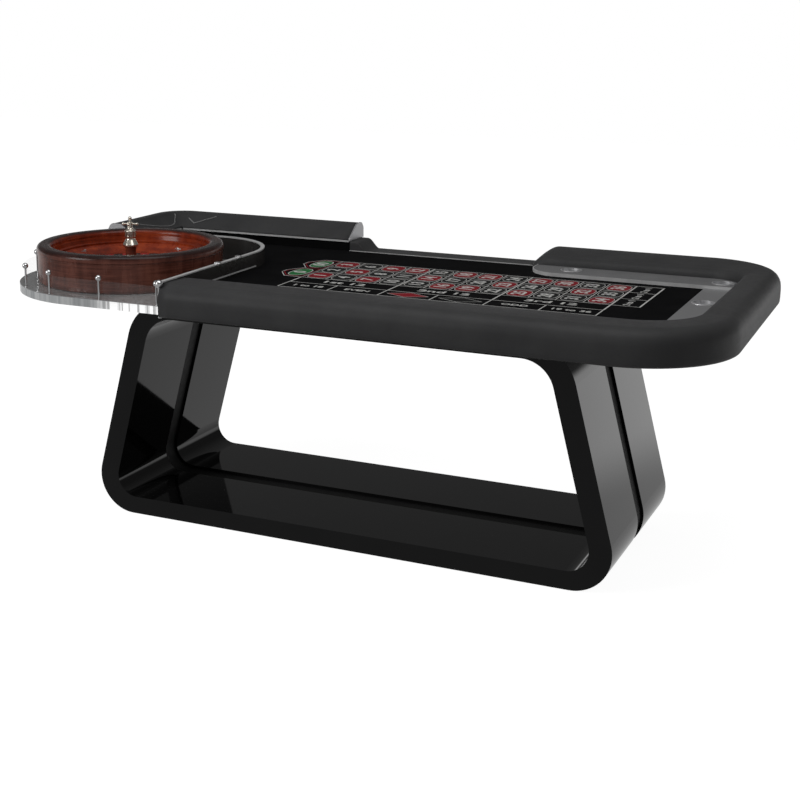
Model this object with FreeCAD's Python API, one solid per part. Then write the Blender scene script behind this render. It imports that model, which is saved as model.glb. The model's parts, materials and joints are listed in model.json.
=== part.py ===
import FreeCAD, Part
import math
import os

# Casino roulette table: a padded playing table on a closed trapezoidal band base,
# with a wheel on a clear platform at its left end.  Millimetres, +Z up, +Y towards
# the dealer, +X towards the padded players' end, origin on the floor under the middle.

V = FreeCAD.Vector

# ---- base -------------------------------------------------------------------
BASE_X = -7.6              # middle of the base along the table
BASE_HALF = 948.6          # outer half width where the leg line meets the floor
BASE_INNER_HALF = 876.3    # inner half width, measured the same way
LEG_SLOPE = 0.267          # legs lean inwards this much per unit of height
BASE_LOW = 1.0             # underside of the base; the glides stand 1 mm proud
BASE_TOP = 765.0
BASE_FLOOR_T = 60.4        # thickness of the bottom band
BASE_ROOF_T = 59.0         # thickness of the top band
BASE_DEPTH = 698.0         # front face to back face
GROOVE = 77.0              # width of the recessed strip between the two loops
GROOVE_DEEP = 10.0         # how far the strip lies back from both skins

# ---- table top --------------------------------------------------------------
TOP_LOW = 783.4            # underside of deck and rails
DECK_T = 18.0
BED_TOP = 834.0
FELT_TOP = 837.0
RIGHT = 1229.5             # outermost face at the players' end
FRONT = -644.3             # outer face of the front rail
BACK = 644.3               # outer face of the armrest
FRONT_W = 176.0            # width of the padding along the front
END_W = 123.0              # width of the padding round the end
ARM_W = 190.0              # width of the padded armrest
RAIL_R = 300.0             # outer plan radius of the padded corners
CROWN = 887.5
CORE_IN = 45.0             # the wooden core starts this far inside the padding
CORE_TOP = 850.0
RAIL_LEFT = -475.0         # left end of the front rail
ARM_LEFT = 372.0           # left end of the armrest
DEALER = 457.0             # line where the felt meets the dealer's edge
DEALER_BACK = 580.0        # outer face along the dealer's side
BACKREST_RIGHT = -334.0    # right end of the raised back-left rail
BACKREST_W = 117.0
SIDE_X = -1180.0           # outer face of the short left side rail
SIDE_R = 120.0             # plan radius of the back-left corner
SIDE_END = 136.0           # where the short left side rail stops
LEDGE_FRONT = 288.0
LEDGE_LEFT = 402.0
LEDGE_TOP = 847.0
PLATE_X = 999.0            # left edge of the brushed end plate

# ---- wheel end --------------------------------------------------------------
WHEEL = (-857.1, -208.3)
PLATFORM_TOP = 807.8
PLATFORM_T = 28.0
PLATFORM_FRONT = -586.6
PLATFORM_LEFT = -1229.5
PLATFORM_R = 363.1
WALL_T = 12.0
WALL_TOP = 889.5
WALL_R = 265.0             # plan radius of the fence corner
WALL_BACK = 250.0          # far face of the leg behind the wheel
WALL_FRONT = -621.0        # front end of the fence
BOWL_R = 316.0
RIM_R = 319.0
RIM_IN = 268.0
RIM_H = 125.0
POCKETS = 38
BALL_Z = 877.0
CUP_DEPTH = 45.6          # flange of a drink cup down to its underside

os.makedirs("parts", exist_ok=True)


# ---- drawing helpers --------------------------------------------------------
def flat(x, y):
    return V(x, y, 0)


def upright(x, z):
    return V(x, 0, z)


def side(y, z):
    return V(0, y, z)


def rounded_wire(corners, place):
    """Closed wire through (a, b, radius) corners, each rounded by its own arc."""
    starts, middles, ends = [], [], []
    count = len(corners)
    for i, (a, b, r) in enumerate(corners):
        here = V(a, b, 0)
        back = V(*corners[i - 1][:2], 0).sub(here).normalize()
        ahead = V(*corners[(i + 1) % count][:2], 0).sub(here).normalize()
        if r <= 0:
            starts.append(here)
            middles.append(None)
            ends.append(here)
            continue
        half = back.getAngle(ahead) / 2
        reach = r / math.tan(half)
        inward = back.add(ahead).normalize()
        centre = here.add(inward * (r / math.sin(half)))
        starts.append(here.add(back * reach))
        middles.append(centre.sub(inward * r))
        ends.append(here.add(ahead * reach))
    edges = []
    for i in range(count):
        if middles[i] is not None:
            arc = Part.Arc(place(*starts[i][:2]), place(*middles[i][:2]), place(*ends[i][:2]))
            edges.append(arc.toShape())
        after = starts[(i + 1) % count]
        if ends[i].distanceToPoint(after) > 1e-6:
            edges.append(Part.LineSegment(place(*ends[i][:2]), place(*after[:2])).toShape())
    return Part.Wire(edges)


def face_of(corners, place):
    return Part.Face(rounded_wire(corners, place))


def plate(corners, low, high):
    """Flat plan outline stood up from one height to another."""
    shape = face_of(corners, flat).extrude(V(0, 0, high - low))
    shape.translate(V(0, 0, low))
    return shape


def slab(corners, y0, y1):
    """Front-view outline pushed through the depth of the table."""
    shape = face_of(corners, upright).extrude(V(0, y1 - y0, 0))
    shape.translate(V(0, y0, 0))
    return shape


def box(x0, x1, y0, y1, z0, z1):
    return Part.makeBox(x1 - x0, y1 - y0, z1 - z0, V(x0, y0, z0))


def rod(radius, x, y, z0, z1):
    return Part.makeCylinder(radius, z1 - z0, V(x, y, z0))


def ball(radius, x, y, z):
    return Part.makeSphere(radius, V(x, y, z))


def turned(corners, x, y, z, turn=360):
    """Half section given as (radius, height, rounding), turned about a vertical axis."""
    shape = face_of(corners, upright).revolve(V(0, 0, 0), V(0, 0, 1), turn)
    shape.translate(V(x, y, z))
    return shape


def fused(shapes):
    whole = shapes[0].multiFuse(shapes[1:]) if len(shapes) > 1 else shapes[0]
    return whole.removeSplitter()


def cut(shape, tools):
    for tool in tools:
        shape = shape.cut(tool)
    return shape


def save(name, shape):
    solids = shape.Solids
    out = solids[0] if len(solids) == 1 else Part.makeCompound(solids)
    if not solids or not all(s.isValid() and s.Volume > 0 for s in solids):
        raise ValueError(name + " is not a valid solid")
    out.exportStep("parts/" + name + ".step")


# ---- base -------------------------------------------------------------------
def base_outline(half, low, high, low_r, high_r):
    corners = []
    for sign, z, r in ((-1, low, low_r), (1, low, low_r), (1, high, high_r), (-1, high, high_r)):
        corners.append((BASE_X + sign * (half - LEG_SLOPE * z), z, r))
    return corners


def loop(y0, y1, inset):
    """Closed band base between two depths, with both skins set back by inset."""
    lean = inset / math.cos(math.atan(LEG_SLOPE))
    outer = slab(base_outline(BASE_HALF - lean, BASE_LOW + inset, BASE_TOP - inset,
                              128 - inset, 165 - inset), y0, y1)
    inner = slab(base_outline(BASE_INNER_HALF + lean, BASE_LOW + BASE_FLOOR_T - inset,
                              BASE_TOP - BASE_ROOF_T + inset, 71 + inset, 108 + inset),
                 y0 - 1, y1 + 1)
    return outer.cut(inner)


def glide_spots():
    spots = []
    for x in (-740, -250, 250, 740):
        for y in (-300, -90, 90, 300):
            if abs(x) > 300 or abs(y) > 200:
                spots.append((BASE_X + x * 0.98, y))
    return spots


def plate_spots():
    return [(BASE_X + x, y) for x in (-350, 350) for y in (-190, 190)]


def bolt_spots():
    return [(px + dx, py + dy) for px, py in plate_spots() for dx in (-60, 60) for dy in (-45, 45)]


def make_base():
    half_gap = GROOVE / 2
    half = BASE_DEPTH / 2
    recesses = [rod(22, x, y, BASE_LOW - 1, 5.0) for x, y in glide_spots()]
    holes = [rod(5, x, y, BASE_TOP - BASE_ROOF_T - 1, BASE_TOP + 1) for x, y in bolt_spots()]
    save("base_loop_front", cut(loop(-half, -half_gap, 0), recesses + holes))
    save("base_loop_back", cut(loop(half_gap, half, 0), recesses + holes))
    save("base_centre_strip", loop(-half_gap, half_gap, GROOVE_DEEP))
    save("floor_glides", Part.makeCompound([rod(22, x, y, 0, 5.0) for x, y in glide_spots()]))


def make_mounting():
    bores = [rod(5, x, y, BASE_TOP - 1, TOP_LOW + DECK_T) for x, y in bolt_spots()]
    plates = [box(x - 95, x + 95, y - 75, y + 75, BASE_TOP, TOP_LOW) for x, y in plate_spots()]
    save("mounting_plates", Part.makeCompound([cut(p, bores) for p in plates]))
    bolts = []
    for x, y in bolt_spots():
        shank = rod(5, x, y, BASE_TOP - BASE_ROOF_T, TOP_LOW + 12)
        head = rod(9, x, y, BASE_TOP - BASE_ROOF_T - 6, BASE_TOP - BASE_ROOF_T)
        bolts.append(fused([shank, head]))
    save("mounting_bolts", Part.makeCompound(bolts))


# ---- padded rail round the players' side ------------------------------------
def rail_plan(outer, inner):
    """U-shaped plan, its outer and inner edges moved in from the finished faces."""
    big = RAIL_R - outer
    return [(RAIL_LEFT, FRONT + outer, 0), (RIGHT - outer, FRONT + outer, big),
            (RIGHT - outer, BACK - outer, big), (ARM_LEFT, BACK - outer, 0),
            (ARM_LEFT, BACK - ARM_W + inner, 0),
            (RIGHT - END_W + inner, BACK - ARM_W + inner, 110 + inner),
            (RIGHT - END_W + inner, FRONT + FRONT_W - inner, 170 + inner),
            (RAIL_LEFT, FRONT + FRONT_W - inner, 0)]


def along(edge, distance, z):
    """True for an edge that lies at a height, this far inside the outer plan."""
    box_ = edge.BoundBox
    if abs(box_.ZMin - z) > 0.01 or abs(box_.ZMax - z) > 0.01:
        return False
    p = edge.valueAt((edge.FirstParameter + edge.LastParameter) / 2)
    return abs(plan_depth(p.x, p.y) - distance) < 0.5


def plan_depth(x, y):
    """How far a plan point lies inside the outer edge of the padding."""
    turn_x = RIGHT - RAIL_R
    turn_y = BACK - RAIL_R
    if x > turn_x and abs(y) > turn_y:
        return RAIL_R - math.hypot(x - turn_x, abs(y) - turn_y)
    return min(RIGHT - x, BACK - abs(y))


def inner_edge(edge):
    """True for a top edge on the felt side of the padding."""
    box_ = edge.BoundBox
    if abs(box_.ZMin - CROWN) > 0.01 or abs(box_.ZMax - CROWN) > 0.01:
        return False
    p = edge.valueAt((edge.FirstParameter + edge.LastParameter) / 2)
    return plan_depth(p.x, p.y) > 60 and p.x > RAIL_LEFT + 1 and p.x > ARM_LEFT - 900 \
        and abs(p.x - ARM_LEFT) > 1


def make_rail():
    body = plate(rail_plan(0, 0), TOP_LOW, CROWN)
    body = body.makeFillet(50, [e for e in body.Edges if along(e, 0, CROWN)])
    body = body.makeFillet(9, [e for e in body.Edges if along(e, 0, TOP_LOW)])
    body = body.makeFillet(16, [e for e in body.Edges if inner_edge(e)])
    rounded_end = [(ARM_LEFT, TOP_LOW - 5, 0), (ARM_LEFT, CROWN + 1, 56),
                   (RIGHT + 10, CROWN + 1, 0), (RIGHT + 10, TOP_LOW - 5, 0)]
    keep = slab(rounded_end, 0, BACK + 10)
    rest = box(RAIL_LEFT - 1, RIGHT + 10, FRONT - 10, 0, TOP_LOW - 5, CROWN + 5)
    body = fused([body.common(keep), body.common(rest)])
    core = plate(rail_plan(CORE_IN, 12), TOP_LOW + DECK_T, CORE_TOP)
    core = core.cut(box(ARM_LEFT - 1, ARM_LEFT + 30, 0, BACK, TOP_LOW, CROWN))
    save("rail_core", core)
    body = cut(body, [core, plate(deck_outline(), TOP_LOW, TOP_LOW + DECK_T), end_post()])
    turn_x, turn_y, far = RIGHT - RAIL_R, BACK - RAIL_R, 2000
    lengths = [box(-far, turn_x, -far, 0, 0, far), box(turn_x, far, -far, -turn_y, 0, far),
               box(turn_x, far, -turn_y, turn_y, 0, far), box(turn_x, far, turn_y, far, 0, far),
               box(-far, turn_x, 0, far, 0, far)]
    save("rail_cushion", Part.makeCompound([body.common(part) for part in lengths]))


# ---- deck, playing bed and felt ---------------------------------------------
def deck_outline():
    reach = CORE_IN
    r = RAIL_R - reach
    return [(RAIL_LEFT, FRONT + reach, 0), (RIGHT - reach, FRONT + reach, r),
            (RIGHT - reach, BACK - reach, r), (ARM_LEFT, BACK - reach, 0),
            (ARM_LEFT, DEALER_BACK - 33, 0), (SIDE_X + 33, DEALER_BACK - 33, SIDE_R - 33),
            (SIDE_X + 33, SIDE_END, 0), (SIDE_X + BACKREST_W, SIDE_END, 0),
            (SIDE_X + BACKREST_W, WALL_BACK, 0), (RAIL_LEFT, WALL_BACK, WALL_R)]


def bed_outline():
    return [(RAIL_LEFT, FRONT + FRONT_W, 0), (RIGHT - END_W, FRONT + FRONT_W, 170),
            (RIGHT - END_W, BACK - ARM_W, 110), (ARM_LEFT, BACK - ARM_W, 0),
            (ARM_LEFT, DEALER, 0), (SIDE_X + BACKREST_W, DEALER, 20),
            (SIDE_X + BACKREST_W, WALL_BACK, 0), (RAIL_LEFT, WALL_BACK, WALL_R)]


def ledge_outline(grow=0.0):
    return [(RIGHT, LEDGE_FRONT - grow, 0), (LEDGE_LEFT - grow, LEDGE_FRONT - grow, 100 + grow),
            (LEDGE_LEFT - grow, BACK, 0), (RIGHT, BACK, 0)]


def cup_spots():
    return [(535, 374, LEDGE_TOP), (1046, 356, LEDGE_TOP), (1045, 48, FELT_TOP + 2.5)]


def boards(shape):
    """Cut a board at the end plate's edge, then into strips that meet at the end cup."""
    x, y, z = cup_spots()[2]
    lines = [FRONT, y - 50, y, y + 50, BACK]
    areas = [box(-RIGHT, PLATE_X, FRONT, BACK, 0, CROWN)]
    areas += [box(PLATE_X, RIGHT, a, b, 0, CROWN) for a, b in zip(lines, lines[1:])]
    pieces = [shape.common(area) for area in areas]
    return Part.makeCompound([solid for piece in pieces for solid in piece.Solids])


def make_deck():
    wells = [rod(34, x, y, z - CUP_DEPTH, LEDGE_TOP + 1) for x, y, z in cup_spots()]
    anchors = [rod(5, x, y, TOP_LOW - 1, TOP_LOW + 12) for x, y in bolt_spots()]
    inside = plate(bed_outline(), TOP_LOW + DECK_T, LEDGE_TOP)
    ledge = plate(ledge_outline(), TOP_LOW, LEDGE_TOP + 5)
    end_zone = box(PLATE_X, RIGHT, FRONT, BACK, BED_TOP, FELT_TOP + 2.5)
    deck = plate(deck_outline(), TOP_LOW, TOP_LOW + DECK_T)
    save("deck_panel", boards(cut(deck, wells + anchors + dowel_shapes())))
    block = cut(inside.common(ledge), wells)
    halves = [box(0, 790, 0, BACK, TOP_LOW, CROWN), box(790, RIGHT, 0, BACK, TOP_LOW, CROWN)]
    save("ledge_block", Part.makeCompound([block.common(half) for half in halves]))
    save("end_plate", boards(cut(inside.common(end_zone), wells + [ledge])))
    bed = plate(bed_outline(), TOP_LOW + DECK_T, BED_TOP)
    save("playing_bed", boards(cut(bed, wells + [ledge])))
    felt = plate(bed_outline(), BED_TOP, FELT_TOP)
    save("felt_cloth", cut(felt, [box(PLATE_X, RIGHT, FRONT, BACK, BED_TOP - 1, LEDGE_TOP), ledge]))
    save("layout_sheet", box(-346, 888, -276, 237, FELT_TOP, FELT_TOP + 0.5))


def make_cups():
    """Pressed steel cups dropped into the ledge and the end plate."""
    low = -CUP_DEPTH
    section = [(0, low, 0), (33.6, low, 4.7), (33.6, 0, 0), (37, 0, 0), (37, 1.6, 0.6), (32.4, 1.6, 0),
               (32.4, low + 1.2, 3.5), (0, low + 1.2, 0)]
    cups = [turned(section, x, y, z) for x, y, z in cup_spots()]
    save("cup_holders", Part.makeCompound(cups))


def make_ledge_trim():
    strip = plate(ledge_outline(3.0), FELT_TOP, LEDGE_TOP + 1.5).cut(
        plate(ledge_outline(), FELT_TOP - 1, LEDGE_TOP + 3))
    strip = strip.common(plate(bed_outline(), FELT_TOP, LEDGE_TOP + 5))
    strip = strip.cut(box(PLATE_X, RIGHT, 0, BACK, FELT_TOP - 1, FELT_TOP + 2.5))
    save("ledge_trim", strip)
    strip = box(BACKREST_RIGHT, ARM_LEFT, DEALER - 4, DEALER, FELT_TOP, FELT_TOP + 2)
    save("dealer_trim", strip)


# ---- dealer's side ----------------------------------------------------------
def make_dealer_edge():
    lip_top = FELT_TOP - 1.0
    section = [(DEALER, TOP_LOW + DECK_T, 0), (DEALER, lip_top, 0), (DEALER_BACK, lip_top, 16),
               (DEALER_BACK, TOP_LOW, 10), (DEALER_BACK - 33, TOP_LOW, 0),
               (DEALER_BACK - 33, TOP_LOW + DECK_T, 0)]
    lip = face_of(section, side).extrude(V(ARM_LEFT - BACKREST_RIGHT, 0, 0))
    lip.translate(V(BACKREST_RIGHT, 0, 0))
    x = BACKREST_RIGHT
    ramp = [(x, lip_top - 4, 0), (x, 872, 0), (x + 34, 871, 12), (x + 58, lip_top, 24),
            (x + 88, lip_top, 0), (x + 88, lip_top - 4, 0)]
    block = slab(ramp, DEALER, DEALER_BACK - 8)
    save("dealer_edge", fused([lip, block]))


def backrest_section():
    """High rail behind the wheel: thin crown and a long flat slope towards the wheel."""
    return [(BACKREST_W, 874, 0), (BACKREST_W, 879, 3), (54, 927, 20), (16, 928, 16),
            (0, 908, 14), (0, TOP_LOW, 12), (33, TOP_LOW, 0), (33, 874, 0)]


def plinth_section():
    return [(BACKREST_W, TOP_LOW + DECK_T, 0), (BACKREST_W, 870, 0), (33, 870, 0),
            (33, TOP_LOW + DECK_T, 0)]


def trim_section():
    return [(BACKREST_W + 3, 868, 0), (BACKREST_W + 3, 874, 0), (40, 874, 0), (40, 870, 0),
            (BACKREST_W, 870, 0), (BACKREST_W, 868, 0)]


def cap_section():
    return [(BACKREST_W + 3, 872, 0), (BACKREST_W + 3, 881, 3), (55, 929.5, 20), (15, 930.5, 16),
            (-1, 910, 14), (-1, 872, 0)]


def straight(section, p, q, outward):
    """Section pushed from p to q; outward is the plan direction of its outer face."""
    def place(u, z):
        return V(p[0] - outward[0] * u, p[1] - outward[1] * u, z)

    return face_of(section, place).extrude(V(q[0] - p[0], q[1] - p[1], 0))


def corner(section, centre, start, radius):
    """Quarter turn of a section about a plan centre; start is its first direction."""
    def place(u, z):
        reach = radius - u
        return V(centre[0] + start[0] * reach, centre[1] + start[1] * reach, z)

    return face_of(section, place).revolve(V(centre[0], centre[1], 0), V(0, 0, 1), 90)


def side_sweep(section):
    """Along the back towards the left, round the corner, then a short way forwards."""
    turn_x = SIDE_X + SIDE_R
    turn_y = DEALER_BACK - SIDE_R
    return fused([
        straight(section, (BACKREST_RIGHT - 6, DEALER_BACK), (turn_x, DEALER_BACK), (0, 1)),
        corner(section, (turn_x, turn_y), (0, 1), SIDE_R),
        straight(section, (SIDE_X, turn_y), (SIDE_X, SIDE_END), (-1, 0)),
    ])


def make_backrest():
    deck = plate(deck_outline(), TOP_LOW, TOP_LOW + DECK_T)
    save("backrest_cushion", side_sweep(backrest_section()).cut(deck))
    save("backrest_plinth", side_sweep(plinth_section()))
    turn_x = SIDE_X + SIDE_R
    save("backrest_trim", fused([
        straight(trim_section(), (BACKREST_RIGHT - 6, DEALER_BACK), (turn_x + 3, DEALER_BACK), (0, 1)),
        straight(trim_section(), (SIDE_X, DEALER_BACK - SIDE_R - 3), (SIDE_X, WALL_BACK), (-1, 0))]))
    cap = straight(cap_section(), (BACKREST_RIGHT - 6, DEALER_BACK), (BACKREST_RIGHT, DEALER_BACK), (0, 1))
    save("backrest_end_cap", cap)
    cap = straight(cap_section(), (SIDE_X, SIDE_END), (SIDE_X, SIDE_END - 5), (-1, 0))
    save("side_end_cap", cap)


# ---- wheel platform and its fence -------------------------------------------
def platform_outline(inset=0.0):
    right = RAIL_LEFT - WALL_T
    return [(right, PLATFORM_FRONT + inset, 0),
            (PLATFORM_LEFT + inset, PLATFORM_FRONT + inset, PLATFORM_R - inset),
            (PLATFORM_LEFT + inset, SIDE_END - 5, 30), (SIDE_X + BACKREST_W, SIDE_END - 5, 0),
            (SIDE_X + BACKREST_W, WALL_BACK - WALL_T, 0), (right, WALL_BACK - WALL_T, WALL_R - WALL_T)]


def dowel_shapes():
    pins = []
    for y in (-480, -360, -240, -120, 0):
        pins.append(Part.makeCylinder(4, 92, V(RAIL_LEFT - WALL_T - 40, y, TOP_LOW + 9), V(1, 0, 0)))
    for x in (-1010, -880, -750):
        pins.append(Part.makeCylinder(4, 92, V(x, WALL_BACK - WALL_T - 40, TOP_LOW + 9), V(0, 1, 0)))
    return pins


def fence_outline(y_front, grow):
    """L-shaped fence in plan: one leg beside the wheel, one behind it."""
    x_in, x_out = RAIL_LEFT - WALL_T - grow, RAIL_LEFT + grow
    y_in, y_out = WALL_BACK - WALL_T - grow, WALL_BACK + grow
    far = SIDE_X + BACKREST_W
    return [(x_out, y_front, 0), (x_out, y_out, WALL_R + grow), (far, y_out, 0), (far, y_in, 0),
            (x_in, y_in, WALL_R - WALL_T - grow), (x_in, y_front, 0)]


def make_platform():
    top = plate(platform_outline(), PLATFORM_TOP - PLATFORM_T, PLATFORM_TOP)
    holes = dowel_shapes() + [rod(4, x, y, PLATFORM_TOP - 12, PLATFORM_TOP + 1) for x, y in post_spots()]
    save("wheel_platform", cut(top, holes))
    save("platform_dowels", Part.makeCompound(dowel_shapes()))
    pads = [box(-700, -580, y - 45, y + 45, BASE_TOP, PLATFORM_TOP - PLATFORM_T) for y in (-190, 190)]
    save("platform_pads", Part.makeCompound(pads))


def make_fence():
    post = end_post()
    wall = plate(fence_outline(WALL_FRONT, 0), PLATFORM_TOP - PLATFORM_T, WALL_TOP)
    save("fence_wall", cut(wall, dowel_shapes() + [post]))
    save("fence_trim", plate(fence_outline(WALL_FRONT, 1.0), WALL_TOP, WALL_TOP + 4).cut(post))
    strip = box(RAIL_LEFT - WALL_T, RAIL_LEFT, WALL_FRONT - 3, WALL_FRONT, PLATFORM_TOP - PLATFORM_T,
                PLATFORM_TOP + 4)
    save("fence_edge_strip", strip.cut(post))
    foot = box(RAIL_LEFT, RAIL_LEFT + 3, FRONT + FRONT_W, WALL_BACK - WALL_R, FELT_TOP + 6, FELT_TOP + 10)
    save("fence_foot_trim", foot)
    clips = []
    for y in (-261, -123):
        clips.append(box(RAIL_LEFT - WALL_T - 4, RAIL_LEFT + 4, y - 8, y + 8, WALL_TOP + 4, WALL_TOP + 8))
    save("fence_clips", Part.makeCompound(clips))


def post_spots():
    cx, cy = PLATFORM_LEFT + PLATFORM_R, PLATFORM_FRONT + PLATFORM_R
    reach = PLATFORM_R - 10
    spots = [(-521, PLATFORM_FRONT + 8), (-738, PLATFORM_FRONT + 8)]
    for angle in (258.2, 232.2, 186.0):
        spots.append((cx + reach * math.cos(math.radians(angle)),
                      cy + reach * math.sin(math.radians(angle))))
    spots.append((PLATFORM_LEFT + 10, 40))
    return spots


def end_post():
    """Stouter post that closes the front end of the fence."""
    x, y = RAIL_LEFT - WALL_T / 2, WALL_FRONT - 4.5
    return fused([rod(4.5, x, y, PLATFORM_TOP - PLATFORM_T, BALL_Z + 10), ball(13, x, y, BALL_Z + 10)])


def make_posts():
    posts = [end_post()]
    for x, y in post_spots():
        stem = rod(3.2, x, y, PLATFORM_TOP, BALL_Z)
        spigot = rod(4, x, y, PLATFORM_TOP - 12, PLATFORM_TOP)
        posts.append(fused([stem, spigot, ball(10, x, y, BALL_Z)]))
    save("guard_posts", Part.makeCompound(posts))


def make_guard():
    """Thin clear screen that stands inside the ring of posts."""
    ring = plate(platform_outline(14.0), PLATFORM_TOP, PLATFORM_TOP + 58)
    hollow = plate(platform_outline(17.0), PLATFORM_TOP - 1, PLATFORM_TOP + 60)
    front = box(PLATFORM_LEFT, RAIL_LEFT - WALL_T - 4, PLATFORM_FRONT, PLATFORM_FRONT + 500,
                PLATFORM_TOP, PLATFORM_TOP + 60)
    left = box(PLATFORM_LEFT, PLATFORM_LEFT + 200, PLATFORM_FRONT, SIDE_END - 60,
               PLATFORM_TOP, PLATFORM_TOP + 60)
    save("wheel_guard", ring.cut(hollow).common(front.fuse(left)))


# ---- wheel ------------------------------------------------------------------
def make_bowl():
    x, y = WHEEL
    section = [(0, 0, 0), (BOWL_R, 0, 6), (BOWL_R, 98, 0), (RIM_R, 101, 2), (RIM_R, RIM_H, 16),
               (RIM_IN, RIM_H, 16), (RIM_IN, 84, 0), (252, 84, 0), (252, 78, 0), (204, 50, 0),
               (204, 20, 0), (26, 20, 0), (26, 14, 0), (9, 14, 0), (9, 6, 0), (0, 6, 0)]
    save("wheel_bowl", turned(section, x, y, PLATFORM_TOP))
    track = [(RIM_IN, 84, 0), (RIM_IN, 104, 0), (RIM_IN - 4, 104, 0), (RIM_IN - 8, 88, 0),
             (252, 84, 0)]
    save("ball_track", turned(track, x, y, PLATFORM_TOP))
    washer = [(9, 14, 0), (26, 14, 0), (26, 20.5, 0), (9, 20.5, 0)]
    save("thrust_washer", turned(washer, x, y, PLATFORM_TOP))
    spindle = [(0, 6, 0), (9, 6, 0), (9, 60, 1.5), (0, 60, 0)]
    save("spindle", turned(spindle, x, y, PLATFORM_TOP))
    bowl = turned(section, x, y, PLATFORM_TOP)
    save("deflectors", Part.makeCompound([gem.cut(bowl) for gem in deflector_shapes()]))


def deflector_shapes():
    """Chrome diamonds on the bowl's slope, every second one lying across."""
    shapes = []
    slope = math.degrees(math.atan2(28, 48))
    for i in range(8):
        long, wide = (24, 6) if i % 2 == 0 else (7, 20)
        corners = [(long, 0, 0), (0, wide, 0), (-long, 0, 0), (0, -wide, 0)]
        base = face_of(corners, flat).Wires[0]
        top = face_of([(a * 0.3, b * 0.3, 0) for a, b, r in corners], flat).Wires[0]
        top.translate(V(0, 0, 6))
        gem = Part.makeLoft([base, top], True, True)
        gem.translate(V(0, 0, -0.6))
        gem.rotate(V(0, 0, 0), V(0, 1, 0), -slope)
        gem.translate(V(233, 0, 66.92))
        gem.rotate(V(0, 0, 0), V(0, 0, 1), 45 * i + 33)
        gem.translate(V(WHEEL[0], WHEEL[1], PLATFORM_TOP))
        shapes.append(gem)
    return shapes


def make_rotor():
    x, y = WHEEL
    low = 23.0
    number = [(176, low, 0), (202, low, 1), (202, 50, 2), (176, 44, 0)]
    save("number_ring", turned(number, x, y, PLATFORM_TOP))
    pocket = [(146, low, 0), (176, low, 0), (176, 35, 0), (146, 35, 0)]
    save("pocket_ring", turned(pocket, x, y, PLATFORM_TOP))
    frets = []
    for i in range(POCKETS):
        fin = box(146.0, 176.0, -0.6, 0.6, 35, 43)
        fin = fin.cut(turned([(176, 20, 0), (190, 20, 0), (190, 60, 0), (176, 60, 0)], 0, 0, 0))
        fin = fin.cut(Part.makeCylinder(146, 90))
        fin.rotate(V(0, 0, 0), V(0, 0, 1), 360.0 * i / POCKETS)
        fin.translate(V(x, y, PLATFORM_TOP))
        frets.append(fin)
    save("pocket_frets", Part.makeCompound(frets))
    cone = [(22, low, 0), (146, low, 0), (146, 45, 2), (120, 49, 40), (24, 66, 0), (22, 66, 0)]
    save("rotor_cone", turned(cone, x, y, PLATFORM_TOP))
    hub = [(9.05, 20.8, 0), (22, 20.8, 0), (22, 66, 0), (0, 66, 0), (0, 61, 0), (9.05, 61, 0)]
    save("rotor_hub", turned(hub, x, y, PLATFORM_TOP))


def make_turret():
    x, y = WHEEL
    base = [(0, 66, 0), (24, 66, 0), (24, 70, 2), (18, 80, 7), (18, 102, 6), (23, 110, 0), (0, 110, 0)]
    save("turret_base", turned(base, x, y, PLATFORM_TOP))
    body = [(0, 110, 0), (26, 110, 0), (26, 115, 2), (16, 134, 10), (16, 137, 0), (19, 140, 1),
            (19, 162, 2), (9, 171, 6), (9, 178, 0), (0, 178, 0)]
    body = turned(body, 0, 0, 0)
    for i in range(8):
        window = box(15.5, 24, -4, 4, 144, 158)
        window.rotate(V(0, 0, 0), V(0, 0, 1), 45 * i)
        body = body.cut(window)
    body.translate(V(x, y, PLATFORM_TOP))
    save("turret_body", body)
    cross = rod(9, 0, 0, 178, 192)
    for angle in (20, 110, 200, 290):
        arm = Part.makeCylinder(2.8, 21, V(0, 0, 185), V(1, 0, 0))
        arm = arm.fuse(ball(5, 24, 0, 185))
        arm.rotate(V(0, 0, 0), V(0, 0, 1), angle)
        cross = cross.fuse(arm)
    cross.translate(V(x, y, PLATFORM_TOP))
    save("turret_cross", cross)
    finial = fused([rod(4, 0, 0, 192, 199), ball(6.5, 0, 0, 204.5)])
    finial.translate(V(x, y, PLATFORM_TOP))
    save("turret_finial", finial)


make_base()
make_mounting()
make_rail()
make_deck()
make_cups()
make_ledge_trim()
make_dealer_edge()
make_backrest()
make_platform()
make_fence()
make_posts()
make_guard()
make_bowl()
make_rotor()
make_turret()
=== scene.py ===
import json
import math

import bmesh
import bpy
from mathutils import Matrix, Vector


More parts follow.
